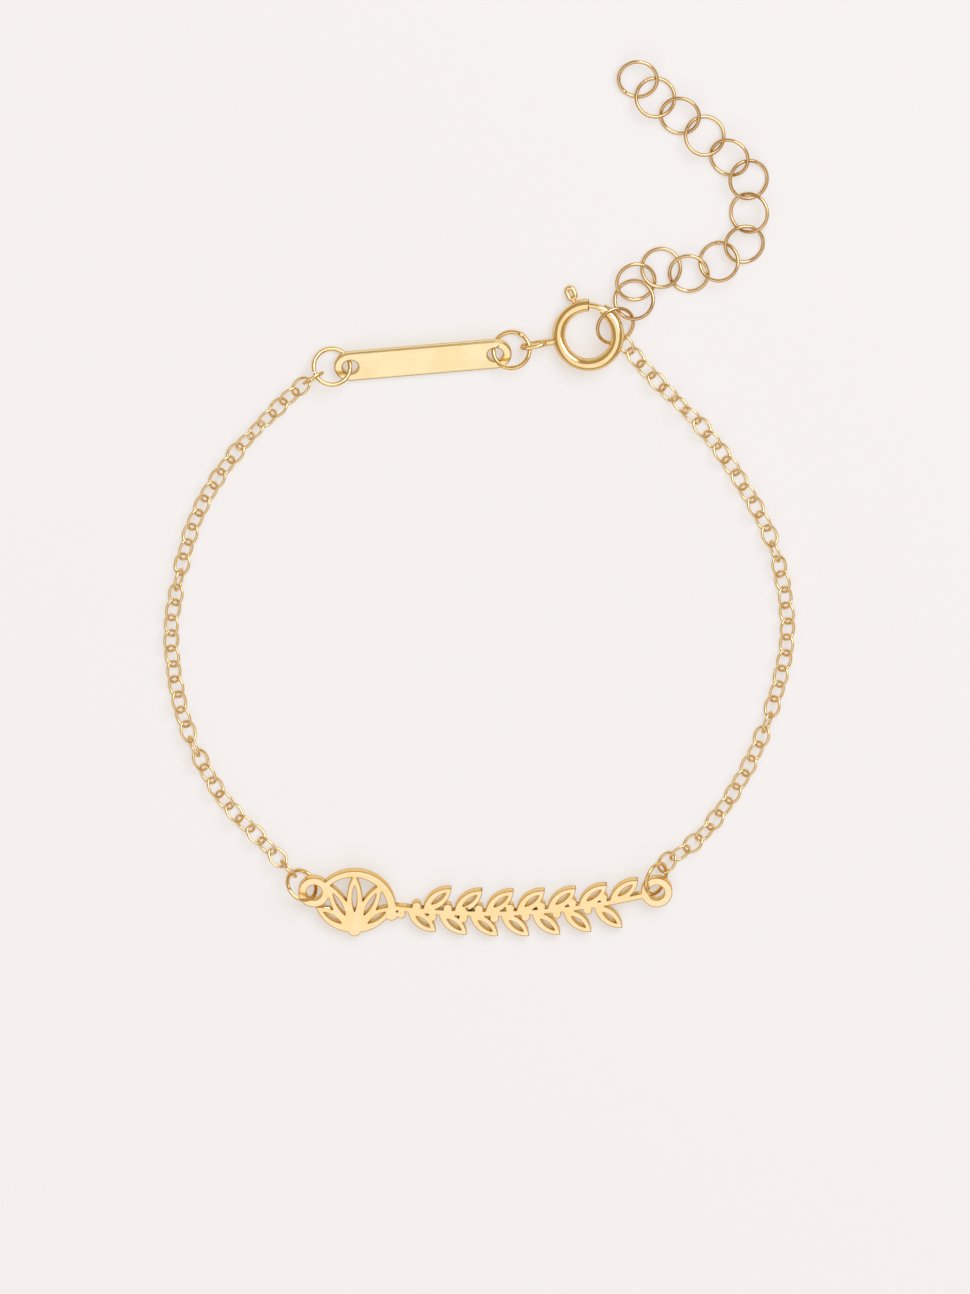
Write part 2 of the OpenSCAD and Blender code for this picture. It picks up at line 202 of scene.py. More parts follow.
def modify(piece: Piece, kind: str, **settings: object) -> None:
    """Applies a modifier to a piece.

    Args:
        piece: The piece.
        kind: The modifier's kind.
        settings: The modifier's settings.
    """
    hold(piece)
    change = piece.modifiers.new(kind.lower(), kind)
    for setting, value in settings.items():
        setattr(change, setting, value)
    bpy.ops.object.modifier_apply(modifier=change.name)


def combine(piece: Piece, tool: Piece, action: str = "UNION") -> None:
    """Adds a closed shape to a piece, or cuts it away with DIFFERENCE, and removes the shape."""
    modify(piece, "BOOLEAN", operation=action, solver="EXACT", object=tool)
    bpy.data.meshes.remove(tool.data)


def add_neck(
    piece: Piece, place: Matrix, start: float, end: float, diameter: float, sides: int
) -> None:
    """Adds a round rod, in millimetres, to a piece.

    Args:
        piece: The piece.
        place: The move that lays the rod, which is long along X, in its place.
        start: Where along X it starts.
        end: Where along X it ends.
        diameter: The rod's diameter.
        sides: How many sides it has.
    """
    near, far = Vector((start, 0, 0)) * MM, Vector((end, 0, 0)) * MM
    bpy.ops.mesh.primitive_cylinder_add(
        vertices=sides, radius=diameter * MM / 2, depth=(far - near).length,
        location=(near + far) / 2, rotation=(far - near).to_track_quat("Z", "Y").to_euler(),
    )
    neck = name_new("neck")
    settle(neck)
    put(neck, place)
    combine(piece, neck)


def finish_mesh(piece: Piece, angle: float = 40) -> None:
    """Merges doubles, turns the faces outwards and smooths them up to an angle.

    Args:
        piece: The piece.
        angle: The angle above which an edge stays sharp.
    """
    pick(piece)
    bpy.ops.mesh.remove_doubles(threshold=MERGE)
    bpy.ops.mesh.normals_make_consistent(inside=False)
    close_edit()
    bpy.ops.object.shade_smooth_by_angle(angle=radians(angle))


# Finishes

# The paler colour painted on sharp edges as a highlight
EDGE_HIGHLIGHT_TONE = (1.0, 0.86, 0.6)
# The dark colour that a cut edge's colour is multiplied by, as painted shade
EDGE_SHADE_TONE = (0.44, 0.27, 0.12)
MARKS_PER_PATCH = 2.2


@dataclass
class Recipe:
    """A material under way, with its surface shader and the place on the surface.

    Attributes:
        name: The material's name.
    """

    name: str

    def __post_init__(self) -> None:
        """Starts the material."""
        self.material = bpy.data.materials.new(self.name)
        self.material.use_nodes = True
        self.tree = self.material.node_tree
        self.shader = self.tree.nodes["Principled BSDF"]
        self.place = self.add("TexCoord", "Object")

    def fill(self, node: bpy.types.Node, values: dict[str, object]) -> None:
        """Sets a node's inputs, or joins them to what other nodes give.

        Args:
            node: The node.
            values: A value, or another node's output, for each input.
        """
        for entry, value in values.items():
            if isinstance(value, Socket):
                self.tree.links.new(value, node.inputs[entry])
            else:
                node.inputs[entry].default_value = value

    def add(
        self, kind: str, out: str, values: dict[str, object] | None = None, **settings: object
    ) -> Socket:
        """Adds a node.

        Args:
            kind: The node's kind, without the word that every kind starts with.
            out: The output that is used.
            values: What its inputs are set or joined to.
            settings: Its other settings.

        Returns:
            The output.
        """
        node = self.tree.nodes.new("ShaderNode" + kind)
        for setting, value in settings.items():
            setattr(node, setting, value)
        self.fill(node, values or {})
        return node.outputs[out]

    def ramp(self, along: Socket, low: tuple[float, Point], high: tuple[float, Point]) -> Socket:
        """Adds a ramp of colour between two stops.

        Args:
            along: What the ramp follows.
            low: The position and colour of the lower stop.
            high: The position and colour of the upper stop.

        Returns:
            The colour.
        """
        colour = self.add("ValToRGB", "Color", {"Fac": along})
        for stop, (position, tone) in zip(colour.node.color_ramp.elements, (low, high)):
            stop.position = position
            stop.color = (*tone, 1)
        return colour


class Wear(Enum):
    """How a surface was finished, with how far its marks stretch along X, Y and Z."""

    BURNISHED = (1.0, 2.5, 1.0)
    DRAWN = (1.0, 1.0, 1.0)


@dataclass(frozen=True)
class GoldFinish:
    """Polished warm gold plating with a faint unevenness of colour and polish.

    Attributes:
        name: The material's name.
        tone: The colour of most of the surface.
        deep: The warmer colour of its faint patches.
        gloss: The roughness where the polish is best.
        haze: The roughness where the polish is worst.
        patch: The size of a patch.
        bump: The depth of the polishing marks in micrometres.
        grazing: The tint of what it mirrors at a flat angle.
        wear: How the surface was finished.
        edge_shade_reach: How far the painted shade reaches from a cut edge, or 0 for none.
    """

    name: str
    tone: Point
    deep: Point
    gloss: float
    haze: float
    patch: float
    bump: float = 0.12
    grazing: Point = (0.66, 0.38, 0.16)
    wear: Wear = Wear.DRAWN
    edge_shade_reach: float = 0.0

    def material(self) -> bpy.types.Material:
        """Makes the finish.

        Returns:
            The finish as a material.
        """
        recipe = Recipe(self.name)
        recipe.material.diffuse_color = (*self.tone, 1)
        colour = self._colour(recipe)
        # Painted shade along the cut edges
        if self.edge_shade_reach:
            colour = self._paint_edge_shade(recipe, colour)
        recipe.fill(recipe.shader, {
            "Metallic": 1.0, "Specular Tint": (*self.grazing, 1), "Base Color": colour,
        })
        self._polish(recipe)
        return recipe.material

    def _colour(self, recipe: Recipe) -> Socket:
        """Lays the faint patches of warmer gold, and paints a highlight on sharp edges as a paler
        gold.

        Args:
            recipe: The material under way.

        Returns:
            The colour.
        """
        patches = recipe.add("TexNoise", "Fac", {
            "Vector": recipe.place, "Scale": 1 / (self.patch * MM), "Detail": 4,
        })
        # Painted highlight: the sharpest convex edges are mixed towards a paler gold
        edge = recipe.add("MapRange", "Result", {
            "Value": recipe.add("NewGeometry", "Pointiness"),
            "From Min": 0.52, "From Max": 0.62, "To Max": 0.45,
        })
        return recipe.add("Mix", "Result", {
            "Factor": edge, "A": recipe.ramp(patches, (0.3, self.deep), (0.62, self.tone)),
            "B": (*EDGE_HIGHLIGHT_TONE, 1),
        }, data_type="RGBA")

    def _paint_edge_shade(self, recipe: Recipe, under: Socket) -> Socket:
        """Paints shade along the cut edges of sheet, as a darker line.

        Args:
            recipe: The material under way.
            under: The colour away from the edges.

        Returns:
            The colour.
        """
        # Painted shade: the colour darkens near a cut edge, found by ambient occlusion inside the
        # piece
        depth = recipe.add(
            "AmbientOcclusion", "AO", {"Distance": self.edge_shade_reach * MM},
            inside=True, only_local=True, samples=8,
        )
        near = recipe.add("MapRange", "Result", {
            "Value": depth, "From Min": 0.97, "From Max": 0.72,
        })
        return recipe.add(
            "Mix", "Result", {"Factor": near, "A": under, "B": (*EDGE_SHADE_TONE, 1)},
            data_type="RGBA", blend_type="MULTIPLY",
        )

    def _polish(self, recipe: Recipe) -> None:
        """Varies the gloss, and lays the fine marks that polishing or drawing leaves.

        Args:
            recipe: The material under way.
        """
        lay = recipe.add("Mapping", "Vector", {
            "Vector": recipe.place, "Scale": self.wear.value,
        })
        marks = recipe.add("TexNoise", "Fac", {
            "Vector": lay, "Scale": MARKS_PER_PATCH / (self.patch * MM),
            "Detail": 6, "Roughness": 0.6,
        })
        rough = recipe.add("MapRange", "Result", {
            "Value": marks, "From Min": 0.3, "From Max": 0.7,
            "To Min": self.gloss, "To Max": self.haze,
        })
        bump = recipe.add("Bump", "Normal", {
            "Height": marks, "Strength": 1.0, "Distance": self.bump * MICRON,
        })
        recipe.fill(recipe.shader, {"Roughness": rough, "Normal": bump})


@dataclass(frozen=True)
class PaleSurface:
    """The matt pale surface that the bracelet lies on.

    Attributes:
        tone: The colour of the surface.
        shade: The colour of its faint clouding.
        glow: The colour of the light that comes through it from a lit table below.
        share: How much of its brightness is that light.
    """

    tone: Point = (0.985, 0.99, 0.945)
    shade: Point = (0.975, 0.98, 0.935)
    glow: Point = (0.905, 0.871, 0.847)
    share: float = 0.5

    def material(self) -> bpy.types.Material:
        """Makes the surface.

        Returns:
            Its material.
        """
        recipe = Recipe("pale_surface")
        cloud = recipe.add("TexNoise", "Fac", {"Vector": recipe.place, "Scale": 14})
        stops = (0.0, self._lit(self.shade)), (1.0, self._lit(self.tone))
        recipe.fill(recipe.shader, {
            "Base Color": recipe.ramp(cloud, *stops),
            "Roughness": 0.7, "Specular IOR Level": 0.25,
            "Emission Color": (*self.glow, 1), "Emission Strength": self.share,
        })
        return recipe.material

    def _lit(self, colour: Point) -> Point:
        """Returns a colour less the share that comes from below."""
        return tuple(part * (1 - self.share) for part in colour)


# The last figure of the plate's and the tag's finish is how far the painted shade reaches from a
# cut edge
PLATE_GOLD = GoldFinish(
    "plate_gold", (0.95, 0.74, 0.37), (0.94, 0.7, 0.3), 0.17, 0.27, 2.6,
    0.3, (0.9, 0.66, 0.34), Wear.BURNISHED, 0.09,
)
TAG_GOLD = GoldFinish(
    "tag_gold", (0.97, 0.83, 0.46), (0.94, 0.77, 0.38), 0.15, 0.22, 2.6,
    0.25, (0.9, 0.68, 0.36), Wear.BURNISHED, 0.18,
)
WIRE_GOLD = GoldFinish("wire_gold", (0.92, 0.72, 0.38), (0.88, 0.63, 0.29), 0.13, 0.22, 0.8)
JUMP_GOLD = GoldFinish("jump_gold", (0.9, 0.67, 0.31), (0.84, 0.57, 0.22), 0.12, 0.2, 1.2)
EXTENDER_GOLD = GoldFinish(
    "extender_gold", (0.8, 0.58, 0.29), (0.62, 0.4, 0.17), 0.12, 0.2, 1.8,
    grazing=(0.6, 0.34, 0.14),
)
CLASP_GOLD = GoldFinish("clasp_gold", (0.94, 0.73, 0.37), (0.9, 0.65, 0.29), 0.1, 0.2, 1.4)


def dress(piece: Piece, finish: bpy.types.Material, body: str, slot: str, *nodes: str) -> None:
    """Gives a piece its finish, the body that it rides on and the nodes it stands for.

    Args:
        piece: The piece.
        finish: The material.
        body: The body that it rides on.
        slot: A material slot's name; not used.
        nodes: The nodes that the piece stands for.
    """
    piece.data.materials.clear()
    piece.data.materials.append(finish)
    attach(piece, body)
    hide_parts(*nodes)
    LOG.info("%s: %d faces", piece.name, len(piece.data.polygons))


# Wire pieces

# How many segments a ring has, and how many sides its wire has
RING_STEPS = 120
RING_SIDES = 20


@dataclass(frozen=True)
class RingStock:
    """A size of round ring.

    Attributes:
        outer: The outer diameter.
        wire: The wire's diameter.
    """

    outer: float
    wire: float

    @property
    def radius(self) -> float:
        """Returns the centreline radius."""
        return (self.outer - self.wire) / 2


@dataclass(frozen=True)
class Seat:
    """Where a round ring lies.

    Attributes:
        x: The centre's place across the surface.
        y: The centre's place along the surface.
        tilt: The tilt.
        turn: The heading of the line it tilts about.
        lift: How far its lowest point is off the surface.
    """

    x: float
    y: float
    tilt: float
    turn: float
    lift: float = 0.0

    def centre(self, stock: RingStock) -> Vector:
        """Returns the centre of a ring that lies here."""
        height = rest_height(stock.radius, stock.wire, self.tilt) + self.lift
        return Vector((self.x, self.y, height))

    def wire_point(self, stock: RingStock, towards: float) -> Vector:
        """Returns the point of a ring's centreline that lies towards a heading.

        Args:
            stock: The ring's size.
            towards: The heading.

        Returns:
            The point, in millimetres.
        """
        off = radians(towards - self.turn)
        lean = cos(radians(self.tilt))
        angle = atan2(sin(off), cos(off) * lean)
        flat = Vector((stock.radius * cos(angle), stock.radius * sin(angle), 0))
        return self.centre(stock) + (turned(self.turn, 0, -self.tilt) @ flat)

    def matrix(self, stock: RingStock) -> Matrix:
        """Returns the move, in metres, that lays a flat ring here."""
        place = Matrix.Translation(self.centre(stock) * MM)
        return place @ turned(self.turn, 0, -self.tilt)


class Join(Enum):
    """How the two ends of a ring's wire meet."""

    CLOSED = "closed"
    SOLDERED = "soldered"
    OPEN = "open"


@dataclass(frozen=True)
class RoundRing:
    """A ring of round wire.

    Attributes:
        node: The node that it stands for.
        stock: Its size.
        seat: Where it lies.
        join: How the ends of its wire meet.
        join_at: The heading of the join.
        bead: The solder's steps: how far each spreads to a side, and how much it thickens.
        gap: How far an open join's gap reaches to either side.
    """

    node: str
    stock: RingStock
    seat: Seat
    join: Join = Join.CLOSED
    join_at: float = 0.0
    bead: tuple[Pair, ...] = ((5.0, 1.1), (2.0, 1.16))
    gap: float = 1.6

    def build(self) -> Piece:
        """Builds the ring where it lies.

        Returns:
            The ring.
        """
        ring = add_torus(
            self.node + "_wire", self.stock.radius * MM, self.stock.wire * MM,
            RING_STEPS, RING_SIDES,
        )
        if self.join is Join.SOLDERED:
            self._solder(ring)
        if self.join is Join.OPEN:
            self._part(ring)
        finish_mesh(ring)
        put(ring, self.seat.matrix(self.stock) @ turned(self.join_at - self.seat.turn))
        return ring

    @staticmethod
    def _near_join(spread: float) -> PlaceTest:
        """Returns the test of whether a place is within some degrees of +X."""
        return lambda p: p.x > 0 and abs(degrees(atan2(p.y, p.x))) < spread

    def _solder(self, ring: Piece) -> None:
        """Raises the low bead of solder over the join, which is on +X.

        Args:
            ring: The flat ring.
        """
        for spread, swell in self.bead:
            pick(ring, self._near_join(spread))
            middle = Vector((self.stock.radius * MM, 0, 0))
            bpy.ops.transform.resize(value=(swell, 1, swell), center_override=middle)
            close_edit()

    def _part(self, ring: Piece) -> None:
        """Cuts the narrow gap on +X between the ends of the wire and closes both ends.

        Args:
            ring: The flat ring.
        """
        pick(ring, self._near_join(self.gap), "FACE")
        bpy.ops.mesh.delete(type="FACE")
        bpy.ops.mesh.select_mode(type="EDGE")
        bpy.ops.mesh.select_all(action="DESELECT")
        bpy.ops.mesh.select_non_manifold()
        bpy.ops.mesh.edge_face_add()
        close_edit()


# How many sides a link's wire has, and how many segments its end and side arcs have
LINK_SIDES = 12
END_STEPS = 9
SIDE_STEPS = 8
# How many steps the smooth line of a chain takes between two points of its route
LINE_STEPS = 12


@dataclass(frozen=True)
class Hook:
    """The chain link that hooks through a ring.

    Attributes:
        heading: Its heading away from the ring.
        away: The distance of its middle from the ring's wire, in shares of its length.
        rise: The height of its middle over that wire, in shares of its width.
        roll: Its turn about the chain.
    """

    heading: float
    away: float
    rise: float
    roll: float


@dataclass(frozen=True)
class CableChain:
    """A length of cable chain whose oval links lie turned against each other.

    Attributes:
        node: The node that it stands for.
        route: The points it passes over on the surface.
        rings: The rings at its two ends.
        hooks: The links that hook through those rings.
        length: A link's outer length.
        width: A link's outer width.
        wire: The wire's diameter.
        slack: The gap between the wires of hooked links.
        roll: The mean turn of a link about the chain.
        vary: How much that turn varies.
        edge_every: How often a link lies on its edge.
        edge_roll: The extra turn of such a link.
        lift: How far the flattest links are held off the surface.
        stray: The step that the turn's variation goes on by from link to link.
    """

    node: str
    route: tuple[Vector, ...]
    rings: tuple[RoundRing, RoundRing]
    hooks: tuple[Hook, Hook]
    length: float = 2.02
    width: float = 1.6
    wire: float = 0.24
    slack: float = 0.18
    roll: float = 38.0
    vary: float = 4.0
    edge_every: int = 11
    edge_roll: float = 26.0
    lift: float = 0.02
    stray: float = 137

    def link_rest(self, roll: float) -> float:
        """Returns the height of a link's middle when it rests with a turn."""
        return rest_height((self.width - self.wire) / 2, self.wire, roll)

    def inner_roll(self, index: int) -> float:
        """Returns the turn of an inner link, before its side."""
        extra = self.edge_roll if index % self.edge_every == (self.edge_every - 1) / 2 else 0
        return self.roll + self.vary * sin(radians(self.stray * index)) + extra

    def path(self) -> np.ndarray:
        """Finds the smooth line that the links are strung on.

        Returns:
            Its points.
        """
        ends = []
        for ring, hook in zip(self.rings, self.hooks):
            point = ring.seat.wire_point(ring.stock, hook.heading)
            point = point + hook.away * self.length * heading_vector(hook.heading)
            ends.append(np.array((point.x, point.y, point.z + hook.rise * self.width)))
        floor = self.link_rest(self.roll) + self.lift
        knots = [ends[0], *(np.array((x, y, floor)) for x, y in self.route), ends[1]]
        line = []
        spans = [knots[0], *knots, knots[-1]]
        for a, b, c, d in zip(spans, spans[1:], spans[2:], spans[3:]):
            for t in np.arange(LINE_STEPS) / LINE_STEPS:
                line.append(
                    0.5 * (2 * b + (c - a) * t + (2 * a - 5 * b + 4 * c - d) * t * t
                           + (3 * b - a - 3 * c + d) * t ** 3)
                )
        return np.array([*line, knots[-1]])

    def places(self) -> list[Matrix]:
        """Places the links on the chain's line.

        Returns:
            The move of each, in metres, from one end to the other.
        """
        line = self.path()
        run = np.concatenate(([0], np.cumsum(np.linalg.norm(np.diff(line, axis=0), axis=1))))
        total = float(run[-1])
        side = -copysign(1, self.hooks[0].roll)
        odd = 0 if side * self.hooks[1].roll > 0 else 1
        pitch = self.length - 2 * self.wire - self.slack
        count = 2 * ceil((total / pitch + 1 - odd) / 2) + odd
        floor = self.link_rest(self.roll)

        def at(distance: float) -> np.ndarray:
            """Returns the point at a distance along the line."""
            return np.array([np.interp(distance, run, line[:, axis]) for axis in range(3)])

        rolls, middles = [], []
        for i in range(count):
            here = total * i / (count - 1)
            middle = at(here)
            roll = self.hooks[min(i, 1)].roll
            if 0 < i < count - 1:
                roll = side * (i % 2 * 2 - 1) * self.inner_roll(i)
                step = self.length / 4
                ahead, back = at(min(here + step, total)), at(max(here - step, 0))
                slope = abs(ahead[2] - back[2]) / np.linalg.norm(ahead - back)
                sink = self.link_rest(roll) - floor + (self.length - self.width) / 2 * slope
                middle[2] = max(middle[2], floor + self.lift) + sink
            rolls.append(roll)
            middles.append(Vector(middle))
        ways = [b - a for a, b in zip(middles, middles[2:])]
        first, last = (heading_vector(hook.heading) for hook in self.hooks)
        moves = []
        for roll, middle, way in zip(rolls, middles, (first, *ways, -last)):
            heading = degrees(atan2(way.y, way.x))
            pitch_down = -degrees(asin(way.z / way.length))
            moves.append(Matrix.Translation(middle * MM) @ turned(heading, pitch_down, roll))
        return moves

    def link(self) -> Piece:
        """Builds one oval link of four arcs, flat at the origin and long along X.

        The middles of the link, an end and a side make a triangle of sides 3:4:5, so the
        arcs meet without a kink.

        Returns:
            The link.
        """
        half = (self.width - self.wire) / 2 * MM
        unit = (self.length - self.width) / 4 * MM
        tip = half - unit
        meet = atan2(4, 3)
        bpy.ops.mesh.primitive_circle_add(
            vertices=LINK_SIDES, radius=self.wire / 2 * MM, rotation=(pi / 2, 0, -meet),
            location=(3 * unit + tip * cos(meet), -tip * sin(meet), 0),
        )
        link = name_new("link")
        settle(link)
        pick(link)
        for sign in (1, -1):
            spin(2 * meet, END_STEPS, (sign * 3 * unit, 0, 0))
            spin(pi - 2 * meet, SIDE_STEPS, (0, -sign * 4 * unit, 0))
        close_edit()
        finish_mesh(link)
        return link

    def build(self) -> Piece:
        """Builds the chain where it lies.

        Returns:
            The chain.
        """
        first = self.link()
        links = []
        for i, move in enumerate(self.places()):
            link = twin_of(first, f"link_{i}")
            link.matrix_world = move
            links.append(link)
        bpy.data.meshes.remove(first.data)
        bpy.context.view_layer.update()
        chain = join_pieces(links, self.node + "_links")
        settle(chain)
        return chain


# Flat pieces

# The angle above which an edge is a cut edge, and the angle below which two faces are one
CUT_EDGE = 50
LEVEL = 0.6
# How many segments a broken edge has
EDGE_STEPS = 3


@dataclass(frozen=True)
class FlatPiece:
    """A piece cut from sheet.

    Attributes:
        node: The node that it stands for.
        edge: The width that polishing broke its edges to, or 0 for edges left crisp.
    """

    node: str
    edge: float = 0.0

    def build(self) -> Piece:
        """Builds the piece from its node's outline and breaks its edges.

        Returns:
            The piece.
        """
        piece = twin_of(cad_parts[self.node], self.node + "_sheet")
        piece.parent = None
        for key in [k for k in piece.keys() if k.startswith("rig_")]:
            del piece[key]
        pick(piece)
        bpy.ops.mesh.remove_doubles(threshold=MERGE)
        bpy.ops.mesh.dissolve_degenerate(threshold=MERGE)
        bpy.ops.mesh.dissolve_limited(angle_limit=radians(LEVEL))
        close_edit()
        if self.edge:
            modify(
                piece, "BEVEL", width=self.edge * MM, segments=EDGE_STEPS,
                limit_method="ANGLE", angle_limit=radians(CUT_EDGE),
            )
        bpy.ops.object.shade_smooth_by_angle(angle=radians(CUT_EDGE))
        modify(piece, "WEIGHTED_NORMAL", keep_sharp=True)
        return piece


# The clasp

# How many sides the tube and the eye's neck have, and the degrees to each step along the tube
ROD_SIDES = 32
ARC_STEP = 3
# How many segments the loops of the eye and the knob have, and sides their wire has
OVAL_STEPS = 50
OVAL_SIDES = 24
# How many steps the curve of the knob's slot takes
SLOT_STEPS = 16


@dataclass(frozen=True)
class Oval:
    """An oval loop of round wire.

    Attributes:
        length: Its outer length.
        width: Its outer width.
        wire: The wire's diameter.
    """

    length: float
    width: float
    wire: float

    def build(self, name: str) -> Piece:
        """Builds the loop flat at the origin and long along X.

        Args:
            name: The piece's name.

        Returns:
            The loop.
        """
        radius = (self.width - self.wire) / 2 * MM
        loop = add_torus(name, radius, self.wire * MM, OVAL_STEPS, OVAL_SIDES)
        straight = (self.length - self.width) / 2 * MM
        for side in (1, -1):
            pick(loop, lambda p: p.x * side > 0)
            bpy.ops.transform.translate(value=(side * straight, 0, 0))
            close_edit()
        return loop


@dataclass(frozen=True)
class SpringRing:
    """The spring ring clasp: a hollow tube ring with an eye, and its bolt with a knob.

    Attributes:
        x: The middle's place across the surface.
        y: The middle's place along the surface.
        lift: How far its lowest point is off the surface.
        lean: Its lean.
        turn: The heading of the line it leans about.
        outer: Its diameter over the tube.
        tube: The tube's diameter.
        bore: The bore of the tube and the sleeve.
        bolt: The bolt's diameter.
        sleeve: The sleeve's diameter.
        travel: How far the bolt slides round.
        gate_start: Where the tube starts beside the gate.
        gate_end: Where the sleeve ends beside the gate.
        sleeve_arc: How far the sleeve stands out of the tube.
        sleeve_lap: How far the sleeve goes into the tube.
        tip: How far the bolt goes into the sleeve.
        tail: How far the bolt goes into the tube.
        knob_at: Where the knob stands with the gate closed.
        knob: The knob's loop, whose neck is of the same wire.
        knob_gap: The gap between the tube and the knob's loop.
        slot_gap: The gap at each side of the knob's neck.
        eye_at: Where the eye stands.
        eye_neck: How far the neck holds the eye off the tube.
        eye_rise: How far the neck rises.
        eye_roll: The eye's turn about its neck.
        eye: The eye's loop.
        neck_share: The neck's diameter in shares of the eye's wire.
        crisp: The angle above which an edge stays sharp.
    """

    x: float
    y: float
    lift: float = 0.05
    lean: float = 11.4
    turn: float = 48.0
    outer: float = 6.0
    tube: float = 1.05
    bore: float = 0.64
    bolt: float = 0.5
    sleeve: float = 0.9
    travel: float = 36.0
    gate_start: float = 90.0
    gate_end: float = 62.0
    sleeve_arc: float = 10.0
    sleeve_lap: float = 1.0
    tip: float = 5.0
    tail: float = 60.0
    knob_at: float = 113.5
    knob: Oval = Oval(1.35, 1.0, 0.4)
    knob_gap: float = 0.07
    slot_gap: float = 0.07
    eye_at: float = 191.5
    eye_neck: float = 0.5
    eye_rise: float = 8.0
    eye_roll: float = 78.0
    eye: Oval = Oval(2.3, 1.5, 0.4)
    neck_share: float = 1.5
    crisp: float = 35

    @property
    def radius(self) -> float:
        """Returns the tube's centreline radius."""
        return (self.outer - self.tube) / 2

    @property
    def eye_arm(self) -> float:
        """Returns how far the eye's middle is from the middle of the tube that holds it."""
        return self.tube / 2 + self.eye_neck + self.eye.length / 2

    def eye_reach(self) -> float:
        """Returns how far the eye's middle is from the clasp's middle on the flat."""
        return self.radius + self.eye_arm * cos(radians(self.eye_rise))

    def plan_of(self, radius: float, angle: float) -> Vector:
        """Returns the plan, from the clasp's middle, of a point of its leaning circle.

        Args:
            radius: The point's distance from the middle.
            angle: The point's angle round the clasp.

        Returns:
            The place across and along the surface.
        """
        off = radians(angle - self.turn)
        across = radius * sin(off) * cos(radians(self.lean))
        leaned = Vector((radius * cos(off), across, 0))
        return (turned(self.turn) @ leaned).xy

    def matrix(self) -> Matrix:
        """Lays the clasp in its place.

        Returns:
            The move, in metres.
        """
        height = rest_height(self.radius, self.tube, self.lean) + self.lift
        place = Matrix.Translation(Vector((self.x, self.y, height)) * MM)
        return place @ turned(self.turn, 0, -self.lean) @ turned(-self.turn)

    def arc(
        self, name: str, start: float, end: float, diameter: float, bore: float = 0.0
    ) -> Piece:
        """Builds an arc of round rod or tube on the clasp's circle.

        Args:
            name: The piece's name.
            start: The angle where it starts.
            end: The angle where it ends.
            diameter: The outer diameter.
            bore: The bore of a tube, or 0 for a rod.

        Returns:
            The arc.
        """
        rims = []
        for size in (diameter, bore) if bore else (diameter,):
            bpy.ops.mesh.primitive_circle_add(
                vertices=ROD_SIDES, radius=size / 2 * MM, fill_type="NOTHING" if bore else "NGON",
                location=(self.radius * MM, 0, 0), rotation=(pi / 2, 0, 0),
            )
            rims.append(name_new(name))
        arc = join_pieces(rims, name)
        settle(arc)
        if bore:
            pick(arc)
            bpy.ops.mesh.bridge_edge_loops()
            close_edit()
        put(arc, turned(start))
        pick(arc)
        spin(radians(end - start), max(6, round((end - start) / ARC_STEP)))
        close_edit()
        finish_mesh(arc)
        return arc

    def body(self) -> Piece:
        """Builds the tube with its sleeve, slot and eye.

        Returns:
            The body.
        """
        sleeve_end = self.gate_end - self.sleeve_arc
        tube_end = sleeve_end + 360
        body = self.arc("clasp_tube", self.gate_start, tube_end, self.tube, self.bore)
        sleeve = self.arc(
            "sleeve", sleeve_end - self.sleeve_lap, self.gate_end, self.sleeve, self.bore
        )
        combine(body, sleeve)
        slot = self.knob.wire + 2 * self.slot_gap
        side = degrees(asin(slot / self.outer))
        cutter = self._slot(self.knob_at - side, self.knob_at + self.travel + side, slot)
        combine(body, cutter, "DIFFERENCE")
        place = turned(self.eye_at) @ Matrix.Translation((self.radius * MM, 0, 0))
        place = place @ turned(0, -self.eye_rise)
        wall = (self.bore + self.tube) / 4
        add_neck(
            body, place, wall, self.tube / 2 + self.eye_neck + self.eye.wire / 2,
            self.neck_share * self.eye.wire, ROD_SIDES,
        )
        eye = self.eye.build("eye")
        out = Matrix.Translation((self.eye_arm * MM, 0, 0))
        put(eye, place @ out @ turned(0, 0, self.eye_roll))
        combine(body, eye)
        finish_mesh(body, self.crisp)
        put(body, self.matrix())
        return body

    def _slot(self, start: float, end: float, width: float) -> Piece:
        """Builds the curved bar that cuts the knob's slot out of the tube's outer wall.

        Args:
            start: The angle where the slot starts.
            end: The angle where it ends.
            width: The slot's width.

        Returns:
            The bar.
        """
        bpy.ops.mesh.primitive_plane_add(
            size=1, location=((self.radius + self.tube / 2) * MM, 0, 0), rotation=(pi / 2, 0, 0)
        )
        bar = name_new("slot")
        bar.scale = (self.tube * MM, width * MM, 1)
        settle(bar)
        put(bar, turned(start))
        pick(bar)
        spin(radians(end - start), SLOT_STEPS)
        close_edit()
        finish_mesh(bar)
        return bar

    def thumb_bolt(self) -> Piece:
        """Builds the bolt with its neck and knob.

        Returns:
            The bolt.
        """
        bolt = self.arc(
            "clasp_bolt_rod", self.gate_end - self.tip, self.gate_start + self.tail, self.bolt
        )
        place = turned(self.knob_at)
        neck_top = self.radius + self.tube / 2 + self.knob_gap + self.knob.wire / 2
        add_neck(bolt, place, self.radius, neck_top, self.knob.wire, OVAL_SIDES)
        loop = self.knob.build("knob")
        reach = self.outer / 2 + self.knob_gap + self.knob.length / 2
        put(loop, place @ Matrix.Translation((reach * MM, 0, 0)))
        combine(bolt, loop)
        finish_mesh(bolt, self.crisp)
        put(bolt, self.matrix())
        return bolt


# The whole bracelet


@dataclass(frozen=True)
class Loop:
    """The loop that the chains lie in, which every place on the surface is a share of.

    Attributes:
        width: Its width.
        height: Its height, from the plate to the clasp.
        centring: The share that brings the whole piece over the origin.
    """

    width: float = 51.4
    height: float = 48.5
    centring: Pair = (0.0027, 0.0019)

    def place(self, across: float, along: float) -> Vector:
        """Returns a place on the surface from its shares of the half width and height."""
        return Vector((
            (across + self.centring[0]) * self.width / 2, (along + self.centring[1]) * self.height
        ))


